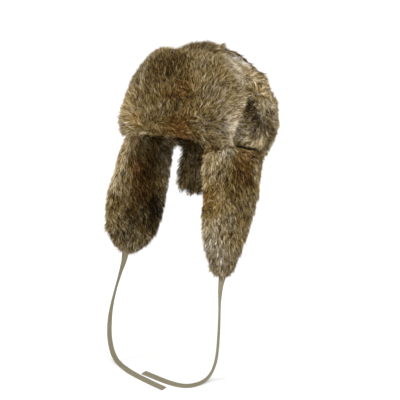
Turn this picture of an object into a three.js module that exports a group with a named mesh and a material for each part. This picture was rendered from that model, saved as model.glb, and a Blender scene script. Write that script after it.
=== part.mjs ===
// Trooper hat of deep brown fur: a hollow crown, a turned-up front flap, a band of fur round
// the sides and back, two long ear flaps, a short neck flap, and a tape tie on each ear flap.
// Millimetres, +Z up. The wearer looks along -Y and the wearer's left is +X.
// The origin is the middle of the head opening, in the plane of the crown's rim.
import * as THREE from "three";

// The head opening and the crown's hide, which is a hollow wall.
const HEAD_HALF_WIDTH = 80;
const HEAD_HALF_LENGTH = 100;
const CROWN_DEPTH = 126;
const CROWN_WALL = 3;
const CROWN_BULGE = 14;
const CROWN_SIDES = 48;
const HAT_TILT = 20;

// The fur's depth over the hide: on top of the crown, and pressed under the flap and the band.
const CROWN_FUR_TOP = 32;
const CROWN_FUR_PRESSED = 5;
const FRONT_FLAP_FUR = 28;
const SIDE_BAND_FUR = 21;

// The turned-up front flap and the band, measured up from the rim.
const FRONT_FLAP_HEIGHT = 132;
const FRONT_FLAP_DROP = 9;
const SIDE_BAND_HEIGHT = 100;
const SIDE_BAND_DROP = 9;
const LOWER_EDGE_SLANT = 8;
const INNER_FACE_SHARE = 0.96;

// How far round they reach, in degrees from the front: half the flap, the parting beside it,
// the rounding of their ends and of their upper corners, and the stretch before and after the
// flap's end where the fur under them thins.
const FRONT_FLAP_HALF_ANGLE = 60;
const PARTING_ANGLE = 2;
const FRONT_FLAP_ROUNDING = { edgeAngle: 13, cornerAngle: 24 };
const SIDE_BAND_ROUNDING = { edgeAngle: 10, cornerAngle: 4 };
const END_DROP_SHARE = 0.2;
const THINNING_ANGLE_BEFORE = 20;
const THINNING_ANGLE_AFTER = 10;

// The hanging flaps, measured down from the rim. The ear flaps' middles stand off the head.
const EAR_FLAP_LENGTH = 208;
const EAR_FLAP_THICKNESS = 38;
const EAR_FLAP_STAND_OFF = 20;
const EAR_FLAP_ROUNDS = { sections: 18, cells: 12 };
const NECK_FLAP_LENGTH = 92;
const NECK_FLAP_THICKNESS = 34;
const NECK_FLAP_ROUNDS = { sections: 8, cells: 12 };
const NECK_FLAP_CLEARANCE = 6.8;
const FLAP_FACE_ROUNDNESS = 2.6;
const FLAP_SECTION_CROWDING = 1.15;
const SLOPED_TOP_SHARE = 0.25;

// The tape ties. Their first points run straight out of the flaps' tips.
const TIE_WIDTH = 11;
const TIE_THICKNESS = 1.4;
const TIE_STARTS = [0.3, 6, 14];
const TIE_STEPS = 36;

// Clearances, and the size of the fur's locks, which vary by their scatter.
const SEAT_GAP = 0.6;
const FUR_SEAM_GAP = 0.7;
const LOCK_LIFT = 6;
const LOCK_LIFT_SCATTER = 0.9;
const LOCK_SWEEP = 6;
const LOCK_SWEEP_SCATTER = 0.8;
const LOCK_SINK = 0.15;
const LOCK_REACH = LOCK_SWEEP * (1 + 0.5 * LOCK_SWEEP_SCATTER);
const LOCK_ANGLE = 5;
const HANGING_LOCKS = 0.85;
const FUR_LEAST = 3;

const FUR_BROWN = 0x7b6540;
const FUR_GREY_BROWN = 0x73644a;
const HIDE_TAN = 0x8c7350;
const TAPE_OLIVE = 0x8f8a6c;

// Rows of the crown's hide, from the rim to the top: share of the crown's depth, share of the
// bulge that is added to the head's outline, and share of the outline that is left.
const CROWN_ROWS = [
  { up: 0.00, bulge: 0.00, outline: 1.00 },
  { up: 0.24, bulge: 0.70, outline: 1.00 },
  { up: 0.48, bulge: 1.00, outline: 1.00 },
  { up: 0.68, bulge: 1.00, outline: 0.94 },
  { up: 0.83, bulge: 1.00, outline: 0.79 },
  { up: 0.93, bulge: 1.00, outline: 0.56 },
  { up: 0.985, bulge: 1.00, outline: 0.29 },
  { up: 1.00, bulge: 1.00, outline: 0.06 },
];

// Rows of the crown's fur, in the same way. front and back are its depth as a share of the
// depth on top: front under the front flap, back at the sides and back, where the band is
// lower. locks is the size of the locks, where nothing covers them.
const CROWN_FUR_ROWS = [
  { up: 0.00, bulge: 0.00, outline: 1.00, front: 0.15, back: 0.15, locks: 0 },
  { up: 0.24, bulge: 0.70, outline: 1.00, front: 0.15, back: 0.15, locks: 0 },
  { up: 0.48, bulge: 1.00, outline: 1.00, front: 0.15, back: 0.20, locks: 0 },
  { up: 0.61, bulge: 1.00, outline: 0.94, front: 0.18, back: 0.32, locks: 0 },
  { up: 0.72, bulge: 1.00, outline: 0.80, front: 0.30, back: 0.44, locks: 0.5 },
  { up: 0.81, bulge: 1.00, outline: 0.645, front: 0.40, back: 0.50, locks: 0.9 },
  { up: 0.88, bulge: 1.00, outline: 0.505, front: 0.60, back: 0.60, locks: 1 },
  { up: 0.935, bulge: 1.00, outline: 0.385, front: 0.78, back: 0.74, locks: 1 },
  { up: 0.97, bulge: 1.00, outline: 0.28, front: 0.93, back: 0.90, locks: 1 },
  { up: 0.99, bulge: 1.00, outline: 0.18, front: 1.00, back: 1.00, locks: 0.8 },
  { up: 1.00, bulge: 1.00, outline: 0.06, front: 1.00, back: 1.00, locks: 0 },
];

// Outer faces of the flap and the band, from the bottom edge to the top edge: share of the
// piece's height above the rim, and how far it stands off the head's outline, as a share of
// its fur over the bulging hide.
const FRONT_FLAP_ROWS = [
  { up: 0.00, stand: 0.93 },
  { up: 0.10, stand: 1.03 },
  { up: 0.20, stand: 1.09 },
  { up: 0.30, stand: 1.11 },
  { up: 0.40, stand: 1.10 },
  { up: 0.50, stand: 1.05 },
  { up: 0.60, stand: 0.97 },
  { up: 0.70, stand: 0.86 },
  { up: 0.79, stand: 0.71 },
  { up: 0.87, stand: 0.53 },
  { up: 0.94, stand: 0.32 },
  { up: 1.00, stand: 0.06 },
];

const SIDE_BAND_ROWS = [
  { up: 0.00, stand: 0.93 },
  { up: 0.12, stand: 1.02 },
  { up: 0.26, stand: 1.06 },
  { up: 0.40, stand: 1.08 },
  { up: 0.54, stand: 1.07 },
  { up: 0.68, stand: 1.04 },
  { up: 0.81, stand: 0.97 },
  { up: 0.92, stand: 0.86 },
  { up: 1.00, stand: 0.70 },
];

// Sections of the hanging flaps, from the top down: share of the length, then the front and
// back edges, across as shares of the half space between the flaps and along as shares of the
// head's half length, how far the middle bows out as a share of that half space, and the share
// of the thickness. The wearer's left flap curls in to the cheek, and the right one flares.
const LEFT_EAR_ROWS = [
  { down: 0.00, frontOut: 0.60, frontAlong: -0.86, backOut: 0.80, backAlong: 0.58, bow: 0.28, thick: 0.80 },
  { down: 0.08, frontOut: 0.62, frontAlong: -0.88, backOut: 0.80, backAlong: 0.58, bow: 0.27, thick: 0.94 },
  { down: 0.25, frontOut: 0.65, frontAlong: -0.88, backOut: 0.79, backAlong: 0.58, bow: 0.24, thick: 1.00 },
  { down: 0.50, frontOut: 0.73, frontAlong: -0.845, backOut: 0.84, backAlong: 0.53, bow: 0.16, thick: 1.00 },
  { down: 0.68, frontOut: 0.80, frontAlong: -0.765, backOut: 0.88, backAlong: 0.405, bow: 0.10, thick: 0.90 },
  { down: 0.82, frontOut: 0.85, frontAlong: -0.66, backOut: 0.90, backAlong: 0.21, bow: 0.06, thick: 0.80 },
  { down: 0.92, frontOut: 0.88, frontAlong: -0.53, backOut: 0.92, backAlong: 0.07, bow: 0.03, thick: 0.66 },
  { down: 0.98, frontOut: 0.90, frontAlong: -0.35, backOut: 0.92, backAlong: -0.04, bow: 0.01, thick: 0.46 },
  { down: 1.00, frontOut: 0.91, frontAlong: -0.22, backOut: 0.91, backAlong: -0.08, bow: 0.00, thick: 0.26 },
];

const RIGHT_EAR_ROWS = [
  { down: 0.00, frontOut: 0.80, frontAlong: -0.775, backOut: 0.80, backAlong: 0.58, bow: 0.24, thick: 0.80 },
  { down: 0.08, frontOut: 0.87, frontAlong: -0.785, backOut: 0.80, backAlong: 0.58, bow: 0.22, thick: 0.94 },
  { down: 0.25, frontOut: 0.95, frontAlong: -0.79, backOut: 0.79, backAlong: 0.58, bow: 0.16, thick: 1.00 },
  { down: 0.50, frontOut: 1.04, frontAlong: -0.81, backOut: 0.80, backAlong: 0.60, bow: 0.10, thick: 1.00 },
  { down: 0.68, frontOut: 1.05, frontAlong: -0.775, backOut: 0.82, backAlong: 0.61, bow: 0.07, thick: 0.96 },
  { down: 0.82, frontOut: 1.03, frontAlong: -0.67, backOut: 0.85, backAlong: 0.49, bow: 0.04, thick: 0.88 },
  { down: 0.92, frontOut: 1.00, frontAlong: -0.50, backOut: 0.89, backAlong: 0.28, bow: 0.02, thick: 0.74 },
  { down: 0.98, frontOut: 0.97, frontAlong: -0.33, backOut: 0.94, backAlong: 0.06, bow: 0.01, thick: 0.46 },
  { down: 1.00, frontOut: 0.96, frontAlong: -0.25, backOut: 0.95, backAlong: -0.11, bow: 0.00, thick: 0.26 },
];

// Sections of the neck flap: its half width is a share of half the space between the ear
// flaps' back edges, and its bow a share of the head's half length.
const NECK_ROWS = [
  { down: 0.00, edge: 1.00, bow: 0.50, thick: 0.80 },
  { down: 0.20, edge: 1.00, bow: 0.50, thick: 1.00 },
  { down: 0.50, edge: 1.00, bow: 0.48, thick: 1.00 },
  { down: 0.78, edge: 0.98, bow: 0.44, thick: 0.86 },
  { down: 0.93, edge: 0.93, bow: 0.41, thick: 0.58 },
  { down: 1.00, edge: 0.86, bow: 0.39, thick: 0.22 },
];

// The ties' routes, after their first straight stretch out of the flaps' tips: they hang to
// the height of the surface under the hat, turn on to it and lie there with their ends side
// by side.
const LEFT_TIE_ROUTE = [
  [90.6, -92.0, -217], [89.8, -91.6, -232], [88.9, -90.2, -250], [88.1, -89.2, -268],
  [87.2, -88.8, -288], [86.6, -88.9, -304], [85.9, -89.6, -320], [84.9, -91.0, -336],
  [83.2, -93.2, -350], [80.4, -97.2, -363], [76.4, -103.4, -373], [71.5, -112.4, -378.4],
  [66.3, -123.0, -379.3], [59.6, -132.4, -379.3], [50.2, -139.0, -379.3], [38.0, -142.3, -379.3],
  [24.0, -143.2, -379.3], [10.0, -142.6, -379.3], [-4.0, -141.2, -379.3], [-17.5, -139.8, -379.3],
  [-30.5, -138.4, -379.3],
];

const RIGHT_TIE_ROUTE = [
  [-97.1, -98.6, -216], [-99.2, -106.0, -233], [-101.8, -114.0, -254], [-104.0, -121.0, -276],
  [-105.5, -126.0, -298], [-106.2, -128.4, -320], [-106.1, -128.8, -338], [-104.6, -128.4, -353],
  [-100.4, -129.2, -366], [-92.4, -131.8, -375.3], [-81.0, -136.4, -379.1], [-68.5, -141.8, -379.3],
  [-55.5, -146.9, -379.3], [-42.0, -150.8, -379.3], [-28.3, -153.9, -379.3], [-14.5, -156.5, -379.3],
  [-0.7, -158.9, -379.3], [12.5, -161.0, -379.3], [25.7, -162.9, -379.3],
];

// How far the tapes turn about their own length, in degrees: they leave the flaps facing
// forwards, swing edge on, and come round so that they lie flat.
const LEFT_TIE_TWISTS = [
  { along: 0.00, turn: -58 },
  { along: 0.05, turn: -52 },
  { along: 0.14, turn: 22 },
  { along: 0.34, turn: 16 },
  { along: 0.50, turn: 0 },
  { along: 1.00, turn: 0 },
];

const RIGHT_TIE_TWISTS = [
  { along: 0.00, turn: 35 },
  { along: 0.04, turn: 30 },
  { along: 0.13, turn: -48 },
  { along: 0.30, turn: -8 },
  { along: 0.42, turn: 0 },
  { along: 1.00, turn: 0 },
];

const DEGREE = Math.PI / 180;

// A steady scatter between -0.5 and 0.5, so that no two locks are quite alike.
function scatter(first, second) {
  const wave = Math.sin(first * 12.9898 + second * 78.233) * 43758.5453;
  return wave - Math.floor(wave) - 0.5;
}

// A value from a table's column, straight between rows, with the rows' place in another column.
function fromRows(rows, place, at, column) {
  const last = rows.length - 1;
  const above = rows.findIndex((row) => row[place] >= at);
  if (above === 0) return rows[0][column];
  if (above < 0) return rows[last][column];
  const low = rows[above - 1];
  const high = rows[above];
  const share = (at - low[place]) / (high[place] - low[place]);
  return low[column] + (high[column] - low[column]) * share;
}

// The head's oval outline, seen from above. Angle 0 is the front, 90 the wearer's left.
function headRadius(angle) {
  const across = Math.sin(angle * DEGREE) / HEAD_HALF_WIDTH;
  const along = Math.cos(angle * DEGREE) / HEAD_HALF_LENGTH;
  return 1 / Math.hypot(across, along);
}

function pointAt(angle, radius, up) {
  const turn = angle * DEGREE;
  return new THREE.Vector3(radius * Math.sin(turn), -radius * Math.cos(turn), up);
}

// A point of the crown on one row of a table, grown outwards by a thickness.
function crownPoint(angle, row, grow) {
  const radius = (headRadius(angle) + CROWN_BULGE * row.bulge + grow) * row.outline;
  return pointAt(angle, radius, (CROWN_DEPTH + grow) * row.up);
}

// How far round to the back an angle is, from 0 under the front flap to 1 under the band.
function backShare(angle) {
  const fromFront = Math.abs(((angle + 180) % 360 + 360) % 360 - 180);
  const start = FRONT_FLAP_HALF_ANGLE - THINNING_ANGLE_BEFORE;
  return THREE.MathUtils.smoothstep(fromFront, start, FRONT_FLAP_HALF_ANGLE + THINNING_ANGLE_AFTER);
}

// A point of the crown fur's outer face. Its rows keep their heights all the way round.
function crownFurPoint(angle, row) {
  const share = row.front + (row.back - row.front) * backShare(angle);
  const grow = CROWN_WALL + SEAT_GAP + Math.max(CROWN_FUR_PRESSED, CROWN_FUR_TOP * share);
  const radius = (headRadius(angle) + CROWN_BULGE * row.bulge + grow) * row.outline;
  return pointAt(angle, radius, crownFurHeight(row));
}

function crownFurHeight(row) {
  return (CROWN_DEPTH + CROWN_WALL + SEAT_GAP + CROWN_FUR_TOP) * row.up;
}

// How high the flap or the band covers the crown's fur at an angle.
function coverHeight(angle) {
  const fromFront = Math.abs(((angle + 180) % 360 + 360) % 360 - 180);
  return fromFront < FRONT_FLAP_HALF_ANGLE + 2 * LOCK_ANGLE ? FRONT_FLAP_HEIGHT : SIDE_BAND_HEIGHT;
}

// The radius at which a piece seats on the crown's fur, at a height over the rim.
function seatRadius(angle, height) {
  const profile = CROWN_FUR_ROWS.map((row) => {
    const point = crownFurPoint(angle, row);
    return { height: point.z, radius: Math.hypot(point.x, point.y) };
  });
  return fromRows(profile, "height", height, "radius") + SEAT_GAP;
}

// How far a lower edge hangs under the rim: the hat sits a little lower on the wearer's right.
function dropAt(drop, angle) {
  return drop - LOWER_EDGE_SLANT * Math.sin(angle * DEGREE);
}

// The height under the flap and the band at which a hanging flap can start.
function undersideAt(x, y) {
  const angle = Math.atan2(x, -y) / DEGREE;
  const underFront = Math.abs(angle) < FRONT_FLAP_HALF_ANGLE - FRONT_FLAP_ROUNDING.edgeAngle;
  const rows = underFront ? FRONT_FLAP_ROWS : SIDE_BAND_ROWS;
  const fur = underFront ? FRONT_FLAP_FUR : SIDE_BAND_FUR;
  const drop = underFront ? FRONT_FLAP_DROP : SIDE_BAND_DROP + LOCK_REACH;
  const seat = seatRadius(angle, 0);
  const edge = headRadius(angle) + (CROWN_BULGE + fur) * rows[0].stand;
  const share = Math.max(0, (Math.hypot(x, y) - seat) / (edge - seat));
  return -Math.max(0, dropAt(drop, angle)) * share;
}

// A closed body through rings of points. Neighbouring rings are joined by two triangles a side,
// with the diagonals turned so that each raised point stands in a ring of low ones.
function loft(rings) {
  const around = rings[0].length;
  const points = rings.flat();
  const index = (ring, place) => ring * around + (place % around);
  const faces = [];
  for (let ring = 0; ring < rings.length - 1; ring += 1) {
    for (let place = 0; place < around; place += 1) {
      const here = index(ring, place);
      const next = index(ring, place + 1);
      const over = index(ring + 1, place);
      const overNext = index(ring + 1, place + 1);
      if ((ring + place) % 2 === 0) {
        faces.push(here, next, over, next, overNext, over);
      } else {
        faces.push(here, next, overNext, here, overNext, over);
      }
    }
  }
  for (const [a, b, c] of capFaces(rings[0])) faces.push(b, a, c);
  const last = index(rings.length - 1, 0);
  for (const [a, b, c] of capFaces(rings.at(-1))) faces.push(last + a, last + b, last + c);
  const geometry = new THREE.BufferGeometry();
  const places = points.flatMap((point) => point.toArray());
  geometry.setAttribute("position", new THREE.Float32BufferAttribute(places, 3));
  geometry.setIndex(faces);
  geometry.computeVertexNormals();
  return facingOut(geometry);
}

// Triangles that close a ring, worked out in its own plane and turned the way the ring runs.
function capFaces(ring) {
  const normal = new THREE.Vector3();
  ring.forEach((point, place) => normal.add(point.clone().cross(ring[(place + 1) % ring.length])));
  normal.normalize();
  const toPlane = new THREE.Quaternion().setFromUnitVectors(normal, new THREE.Vector3(0, 0, 1));
  const turned = ring.map((point) => point.clone().applyQuaternion(toPlane));
  const flat = turned.map(({ x, y }) => new THREE.Vector2(x, y));
  return THREE.ShapeUtils.triangulateShape(flat, []).map(([a, b, c]) => {
    const area = flat[b].clone().sub(flat[a]).cross(flat[c].clone().sub(flat[a]));
    return area > 0 ? [a, b, c] : [a, c, b];
  });
}

// Turns every face over if the body's signed volume comes out negative.
function facingOut(geometry) {
  const place = geometry.getAttribute("position");
  const faces = geometry.index.array;
  const corners = [new THREE.Vector3(), new THREE.Vector3(), new THREE.Vector3()];
  let volume = 0;
  for (let face = 0; face < faces.length; face += 3) {
    corners.forEach((corner, side) => corner.fromBufferAttribute(place, faces[face + side]));
    volume += corners[0].dot(corners[1].clone().cross(corners[2]));
  }
  if (volume < 0) {
    for (let face = 0; face < faces.length; face += 3) {
      [faces[face + 1], faces[face + 2]] = [faces[face + 2], faces[face + 1]];
    }
  }
  return geometry;
}

// Lifts every second point of a fur face into the tip of a lock, and sinks those between.
function lock(point, outward, flow, size, ring, place) {
  const tip = (ring + place) % 2 === 0;
  if (!tip) return point.addScaledVector(outward, -LOCK_SINK * size * LOCK_LIFT);
  const lift = size * LOCK_LIFT * (1 + LOCK_LIFT_SCATTER * scatter(ring, place));
  const sweep = size * LOCK_SWEEP * (1 + LOCK_SWEEP_SCATTER * scatter(place, ring));
  return point.addScaledVector(outward, lift).addScaledVector(flow, sweep);
}

// The crown's hide: a dome with an open mouth, from the inside of the top, down to the rim
// and up the outside.
function crownWall() {
  const angles = Array.from({ length: CROWN_SIDES }, (_, step) => step * 360 / CROWN_SIDES);
  const inside = [...CROWN_ROWS].reverse().map((row) => angles.map((angle) => crownPoint(angle, row, 0)));
  const outside = CROWN_ROWS.map((row) => angles.map((angle) => crownPoint(angle, row, CROWN_WALL)));
  return loft([...inside, ...outside]);
}

// The fur over the crown: pressed thin under the flap and the band, and deep above them, with
// locks that lie back and down.
function crownFur() {
  const steps = 360 / LOCK_ANGLE;
  const angles = Array.from({ length: steps }, (_, step) => step * LOCK_ANGLE);
  const inner = CROWN_WALL + SEAT_GAP;
  const inside = [...CROWN_ROWS].reverse().map((row) => angles.map((angle) => crownPoint(angle, row, inner)));
  const back = new THREE.Vector3(0, 1, -0.6).normalize();
  const outside = CROWN_FUR_ROWS.map((row, ring) => angles.map((angle, place) => {
    const point = crownFurPoint(angle, row);
    const outward = point.clone().setZ(point.z - CROWN_DEPTH / 2).normalize();
    const size = point.z > coverHeight(angle) + FUR_LEAST ? row.locks : 0;
    return size > 0 ? lock(point, outward, back, size, ring, place) : point;
  }));
  return loft([...inside, ...outside]);
}

// Rises from 0 to 1 as a quarter circle does.
function quarterRound(share) {
  return Math.sqrt(1 - (1 - THREE.MathUtils.clamp(share, 0, 1)) ** 2);
}

// A piece of deep fur that wraps part of the crown: one closed section at each angle, with a
// plain inner face seated on the crown's fur and an outer face in locks. It rounds off towards
// its two ends, over the edge's span of degrees, and its upper corners over the corner's.
function wrappedFur({ from, to, rows, height, drop, fur, rounding, flow }) {
  const steps = Math.round((to - from) / LOCK_ANGLE);
  const innerTop = INNER_FACE_SHARE * height;
  const innerHeights = CROWN_FUR_ROWS.map(crownFurHeight).filter((up) => up < innerTop - SEAT_GAP);
  innerHeights.push(innerTop);
  const rings = [];
  for (let step = 0; step <= steps; step += 1) {
    const angle = from + (to - from) * step / steps;
    const fromEnd = Math.min(angle - from, to - angle);
    const endRound = quarterRound(fromEnd / rounding.edgeAngle);
    const dropShare = END_DROP_SHARE + (1 - END_DROP_SHARE) * endRound;
    const bottom = -Math.max(0, dropAt(drop, angle)) * dropShare;
    const innerFace = innerHeights.map((up) => pointAt(angle, seatRadius(angle, up), up));
    const outerFace = rows.map((row, place) => {
      const inset = rounding.cornerAngle * (1 - quarterRound(2 * (1 - row.up)));
      const round = quarterRound((fromEnd - inset) / rounding.edgeAngle);
      const up = bottom + (height - bottom) * row.up;
      const full = headRadius(angle) + (CROWN_BULGE + fur) * row.stand;
      const least = seatRadius(angle, Math.max(0, up)) + FUR_LEAST;
      const point = pointAt(angle, least + Math.max(0, full - least) * round, up);
      const size = round * (place === rows.length - 1 ? 0.5 : 1);
      return lock(point, pointAt(angle, 1, 0), flow(angle), size, step, place);
    });
    rings.push([...innerFace, ...outerFace.reverse()]);
  }
  return loft(rings);
}

// The front flap's hair stands up, as the flap is turned up.
function frontFlap() {
  return wrappedFur({
    from: -FRONT_FLAP_HALF_ANGLE,
    to: FRONT_FLAP_HALF_ANGLE,
    rows: FRONT_FLAP_ROWS,
    height: FRONT_FLAP_HEIGHT,
    drop: FRONT_FLAP_DROP,
    fur: FRONT_FLAP_FUR,
    rounding: FRONT_FLAP_ROUNDING,
    flow: () => new THREE.Vector3(0, 0, 0.6),
  });
}

// The band's hair lies down and round.
function sideBand() {
  return wrappedFur({
    from: FRONT_FLAP_HALF_ANGLE + PARTING_ANGLE,
    to: 360 - FRONT_FLAP_HALF_ANGLE - PARTING_ANGLE,
    rows: SIDE_BAND_ROWS,
    height: SIDE_BAND_HEIGHT,
    drop: SIDE_BAND_DROP,
    fur: SIDE_BAND_FUR,
    rounding: SIDE_BAND_ROUNDING,
    flow: (angle) => pointAt(angle + 90, 0.5, -0.7),
  });
}

// One closed section of a hanging flap: its middle line runs from the front edge to the back
// edge in an even bow, with fur on both faces. cells is the count of locks along each face.
function flapSection({ front, back, bow, thickness, up, under, ring, cells, size }) {
  const along = back.clone().sub(front);
  const forth = along.clone().normalize();
  const out = new THREE.Vector3(along.y, -along.x, 0).normalize();
  if (out.dot(front.clone().add(back)) < 0) out.negate();
  const down = new THREE.Vector3(0, 0, -1);
  const section = [];
  for (let place = 0; place < 2 * cells; place += 1) {
    const side = place < cells ? 1 : -1;
    const share = side > 0 ? place / cells : 2 - place / cells;
    const round = Math.sqrt(1 - Math.abs(2 * share - 1) ** FLAP_FACE_ROUNDNESS);
    const reach = bow * 4 * share * (1 - share) + side * 0.5 * thickness * round;
    const point = front.clone().addScaledVector(along, share).addScaledVector(out, reach);
    point.z = up + under * undersideAt(point.x, point.y);
    const outward = out.clone().multiplyScalar(side * round);
    outward.addScaledVector(forth, (1 - round) * Math.sign(share - 0.5));
    section.push(size > 0 ? lock(point, outward, down, size * (1 + 2 * round) / 3, ring, place) : point);
  }
  return section;
}

// A hanging flap, lofted from its sections. The first ones follow the slope of the band's
// underside, and the first and last have no locks.
function hangingFlap(length, { sections, cells }, section) {
  const rings = [];
  for (let ring = 0; ring <= sections; ring += 1) {
    const share = 1 - (1 - ring / sections) ** FLAP_SECTION_CROWDING;
    const fromEnds = Math.min(ring / 1.5, (sections - ring) / 2, 1);
    rings.push(flapSection({
      ...section(share),
      up: -FUR_SEAM_GAP - (length - FUR_SEAM_GAP) * share,
      under: Math.max(0, 1 - share / SLOPED_TOP_SHARE),
      ring,
      cells,
      size: HANGING_LOCKS * fromEnds,
    }));
  }
  return loft(rings);
}

function earFlapEdges(rows, side, share) {
  const value = (column) => fromRows(rows, "down", share, column);
  const across = side * (HEAD_HALF_WIDTH + EAR_FLAP_STAND_OFF);
  return {
    front: new THREE.Vector3(across * value("frontOut"), HEAD_HALF_LENGTH * value("frontAlong"), 0),
    back: new THREE.Vector3(across * value("backOut"), HEAD_HALF_LENGTH * value("backAlong"), 0),
    bow: Math.abs(across) * value("bow"),
    thickness: EAR_FLAP_THICKNESS * value("thick"),
  };
}

function earFlap(rows, side) {
  const section = (share) => earFlapEdges(rows, side, share);
  return hangingFlap(EAR_FLAP_LENGTH, EAR_FLAP_ROUNDS, section);
}

function neckFlap() {
  const { back } = earFlapEdges(LEFT_EAR_ROWS, 1, 0);
  const section = (share) => {
    const value = (column) => fromRows(NECK_ROWS, "down", share, column);
    const halfWidth = (back.x - NECK_FLAP_CLEARANCE) * value("edge");
    return {
      front: new THREE.Vector3(-halfWidth, back.y + NECK_FLAP_CLEARANCE, 0),
      back: new THREE.Vector3(halfWidth, back.y + NECK_FLAP_CLEARANCE, 0),
      bow: HEAD_HALF_LENGTH * value("bow"),
      thickness: NECK_FLAP_THICKNESS * value("thick"),
    };
  };
  return hangingFlap(NECK_FLAP_LENGTH, NECK_FLAP_ROUNDS, section);
}

// A curve for flat tape. Its frames lie flat at the far end, follow the bends without turning,
// and take the twist that a table gives.
class TapePath extends THREE.CatmullRomCurve3 {
  constructor(points, twists) {
    super(points, false, "centripetal");
    this.twists = twists;
  }

  computeFrenetFrames(segments) {
    const tangents = [];
    for (let step = 0; step <= segments; step += 1) tangents.push(this.getTangentAt(step / segments));
    const facings = [];
    let facing = new THREE.Vector3(0, 0, 1);
    for (let step = segments; step >= 0; step -= 1) {
      facing = facing.clone().addScaledVector(tangents[step], -facing.dot(tangents[step])).normalize();
      facings[step] = facing;
    }
    const normals = facings.map((flat, step) => {
      const turn = fromRows(this.twists, "along", step / segments, "turn") * DEGREE;
      return flat.clone().applyAxisAngle(tangents[step], turn);
    });
    const binormals = normals.map((normal, step) => tangents[step].clone().cross(normal));
    return { tangents, normals, binormals };
  }
}

// A tape's section: a thin bar with its long corners taken off, which makes eight sides.
function tapeSection() {
  const half = TIE_WIDTH / 2;
  const thin = TIE_THICKNESS / 2;
  const corner = 0.4 * TIE_THICKNESS;
  return new THREE.Shape([
    [thin, half - corner], [0.5 * thin, half], [-0.5 * thin, half], [-thin, half - corner],
    [-thin, corner - half], [-0.5 * thin, -half], [0.5 * thin, -half], [thin, corner - half],
  ].map(([x, y]) => new THREE.Vector2(x, y)));
}

// A tie starts square to the flat tip of its flap, a small gap below it.
function tie(rows, side, route, twists) {
  const { front, back } = earFlapEdges(rows, side, 1);
  const tip = front.clone().lerp(back, 0.5).setZ(-EAR_FLAP_LENGTH).applyMatrix4(tipped.matrix);
  const straight = new THREE.Vector3(0, 0, -1).transformDirection(tipped.matrix);
  const points = TIE_STARTS.map((reach) => tip.clone().addScaledVector(straight, reach));
  const path = new TapePath([...points, ...route.map((point) => new THREE.Vector3(...point))], twists);
  const along = { steps: TIE_STEPS, bevelEnabled: false, extrudePath: path };
  return new THREE.ExtrudeGeometry(tapeSection(), along);
}

function piece(name, geometry, material) {
  const mesh = new THREE.Mesh(geometry, material);
  mesh.name = name;
  return mesh;
}

const hide = new THREE.MeshStandardMaterial({ color: HIDE_TAN, roughness: 0.85 });
const greyBrownFur = new THREE.MeshStandardMaterial({ color: FUR_GREY_BROWN, roughness: 0.95 });
const brownFur = new THREE.MeshStandardMaterial({ color: FUR_BROWN, roughness: 0.95 });
const tape = new THREE.MeshStandardMaterial({ color: TAPE_OLIVE, roughness: 0.8 });

// The hat is worn tipped back, so all of it but the ties turns about the rim's cross axis.
const tipped = new THREE.Group();
tipped.rotation.x = -HAT_TILT * DEGREE;
tipped.updateMatrix();
tipped.add(
  piece("crown", crownWall(), hide),
  piece("crown_fur", crownFur(), greyBrownFur),
  piece("front_flap", frontFlap(), brownFur),
  piece("side_band", sideBand(), greyBrownFur),
  piece("ear_flap_left", earFlap(LEFT_EAR_ROWS, 1), brownFur),
  piece("ear_flap_right", earFlap(RIGHT_EAR_ROWS, -1), brownFur),
  piece("neck_flap", neckFlap(), brownFur),
);

const hat = new THREE.Group();
hat.add(
  tipped,
  piece("tie_left", tie(LEFT_EAR_ROWS, 1, LEFT_TIE_ROUTE, LEFT_TIE_TWISTS), tape),
  piece("tie_right", tie(RIGHT_EAR_ROWS, -1, RIGHT_TIE_ROUTE, RIGHT_TIE_TWISTS), tape),
);
export default hat;
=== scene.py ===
# Trooper hat of deep brown fur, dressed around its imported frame.
# Metres, +Z up. The wearer looks along -Y, and the wearer's left is +X.
import math

import bmesh
import bpy
import numpy as np
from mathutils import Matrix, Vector
from mathutils.bvhtree import BVHTree


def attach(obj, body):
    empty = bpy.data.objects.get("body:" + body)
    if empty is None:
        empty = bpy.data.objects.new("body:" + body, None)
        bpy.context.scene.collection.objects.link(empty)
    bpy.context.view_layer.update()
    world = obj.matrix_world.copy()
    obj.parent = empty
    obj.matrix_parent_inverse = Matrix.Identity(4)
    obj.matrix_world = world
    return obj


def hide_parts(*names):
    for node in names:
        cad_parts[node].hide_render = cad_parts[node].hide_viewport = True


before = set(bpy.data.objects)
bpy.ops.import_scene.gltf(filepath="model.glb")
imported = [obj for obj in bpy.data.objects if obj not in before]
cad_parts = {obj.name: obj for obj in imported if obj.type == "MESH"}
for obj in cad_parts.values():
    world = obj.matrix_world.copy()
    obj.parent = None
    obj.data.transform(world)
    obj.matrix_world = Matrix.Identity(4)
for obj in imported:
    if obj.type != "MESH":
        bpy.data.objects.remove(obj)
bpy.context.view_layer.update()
MM = 0.001

# The view. The hat is seen from its front and the wearer's left, a little from above, through
# a long lens. The ties lie on the surface that the hat is shown over.
VIEW_AZIMUTH = math.radians(30)
VIEW_HEIGHT = math.radians(20.5)
VIEW_DISTANCE = 1.45
VIEW_CENTRE = Vector((0, 0, -0.106))
LENS_MM = 76.8
SURFACE_HEIGHT = -380 * MM

towards_viewer = Vector((
    math.sin(VIEW_AZIMUTH) * math.cos(VIEW_HEIGHT),
    -math.cos(VIEW_AZIMUTH) * math.cos(VIEW_HEIGHT),
    math.sin(VIEW_HEIGHT),
))
camera = bpy.data.objects.new("camera", bpy.data.cameras.new("camera"))
camera.data.lens = LENS_MM
camera.data.sensor_width = 36
camera.data.clip_end = 50
camera.location = VIEW_CENTRE + VIEW_DISTANCE * towards_viewer
camera.rotation_euler = towards_viewer.to_track_quat("Z", "Y").to_euler()
bpy.context.collection.objects.link(camera)
bpy.context.scene.camera = camera


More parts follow.
